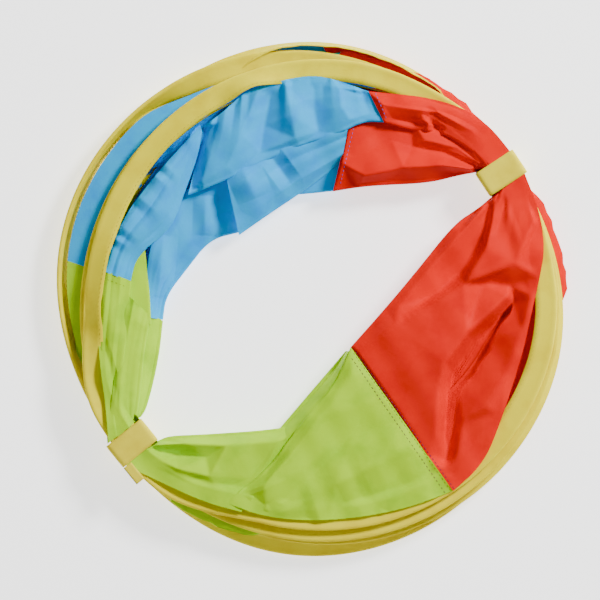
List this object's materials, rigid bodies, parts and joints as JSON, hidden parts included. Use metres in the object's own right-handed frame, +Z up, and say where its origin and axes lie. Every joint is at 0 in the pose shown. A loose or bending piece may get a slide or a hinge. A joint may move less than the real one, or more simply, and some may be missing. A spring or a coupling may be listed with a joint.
{
  "type": "agility tunnel",
  "caption": "Pop-up agility tunnel pulled flat into a ring: sprung hoops in yellow tape, blue, green and red cloth folded inwards, held by two webbing ties.",
  "frame": {"origin": "middle of the flat ring's footprint, on the floor", "axes": "+Z up, through the flat ring; the spans open along it"},
  "size_m": [0.4934, 0.497, 0.0429],
  "materials": {
    "spring_steel": "satin",
    "yellow_tape": "satin",
    "yellow_webbing": "satin",
    "yellow_patch": "satin",
    "blue_cloth": "satin",
    "green_cloth": "satin",
    "red_cloth": "satin"
  },
  "bodies": {
    "hoop_1": {"hoop_1_wire": "spring_steel", "hoop_1_tape": "yellow_tape", "span_1_blue": "blue_cloth", "span_1_green": "green_cloth", "span_1_red": "red_cloth", "tie_right_lower_strap": "yellow_webbing", "tie_right_loop_patch": "yellow_patch", "tie_left_lower_strap": "yellow_webbing", "tie_left_loop_patch": "yellow_patch"},
    "hoop_2": {"hoop_2_wire": "spring_steel", "hoop_2_tape": "yellow_tape", "span_2_blue": "blue_cloth", "span_2_green": "green_cloth", "span_2_red": "red_cloth"},
    "hoop_3": {"hoop_3_wire": "spring_steel", "hoop_3_tape": "yellow_tape", "span_3_blue": "blue_cloth", "span_3_green": "green_cloth", "span_3_red": "red_cloth"},
    "hoop_4": {"hoop_4_wire": "spring_steel", "hoop_4_tape": "yellow_tape", "span_4_blue": "blue_cloth", "span_4_green": "green_cloth", "span_4_red": "red_cloth"},
    "hoop_5": {"hoop_5_wire": "spring_steel", "hoop_5_tape": "yellow_tape", "span_5_blue": "blue_cloth", "span_5_green": "green_cloth", "span_5_red": "red_cloth"},
    "hoop_6": {"hoop_6_wire": "spring_steel", "hoop_6_tape": "yellow_tape", "tie_right_sewn_end": "yellow_webbing", "tie_left_sewn_end": "yellow_webbing", "tie_left_tail": "yellow_webbing"},
    "tie_right": {"tie_right_upper_strap": "yellow_webbing", "tie_right_hook_patch": "yellow_patch"},
    "tie_left": {"tie_left_upper_strap": "yellow_webbing", "tie_left_hook_patch": "yellow_patch"}
  },
  "joints": [
    {"name": "extend", "type": "slide", "parent": "hoop_1", "child": "hoop_2", "axis": [0, 0, 1], "range_m": [0, 0.343], "deforming": ["span_1_blue", "span_1_green", "span_1_red"]},
    {"name": "extend_2", "type": "slide", "parent": "hoop_2", "child": "hoop_3", "axis": [0, 0, 1], "range_m": [0, 0.343], "deforming": ["span_2_blue", "span_2_green", "span_2_red"]},
    {"name": "extend_3", "type": "slide", "parent": "hoop_3", "child": "hoop_4", "axis": [0, 0, 1], "range_m": [0, 0.343], "deforming": ["span_3_blue", "span_3_green", "span_3_red"]},
    {"name": "extend_4", "type": "slide", "parent": "hoop_4", "child": "hoop_5", "axis": [0, 0, 1], "range_m": [0, 0.343], "deforming": ["span_4_blue", "span_4_green", "span_4_red"]},
    {"name": "extend_5", "type": "slide", "parent": "hoop_5", "child": "hoop_6", "axis": [0, 0, 1], "range_m": [0, 0.343], "deforming": ["span_5_blue", "span_5_green", "span_5_red"]},
    {"name": "tie_right_fold", "type": "hinge", "parent": "hoop_6", "child": "tie_right", "pos_m": [0.19234, 0.12656, 0.0417], "axis": [-0.5505, 0.8348, 0], "range_deg": [0, 150]},
    {"name": "tie_left_fold", "type": "hinge", "parent": "hoop_6", "child": "tie_left", "pos_m": [-0.17827, -0.14469, 0.0417], "axis": [0.6293, -0.7771, 0], "range_deg": [0, 150]}
  ],
  "couplings": [
    {"joint": "extend_2", "follows": "extend", "ratio": 1},
    {"joint": "extend_3", "follows": "extend", "ratio": 1},
    {"joint": "extend_4", "follows": "extend", "ratio": 1},
    {"joint": "extend_5", "follows": "extend", "ratio": 1}
  ]
}
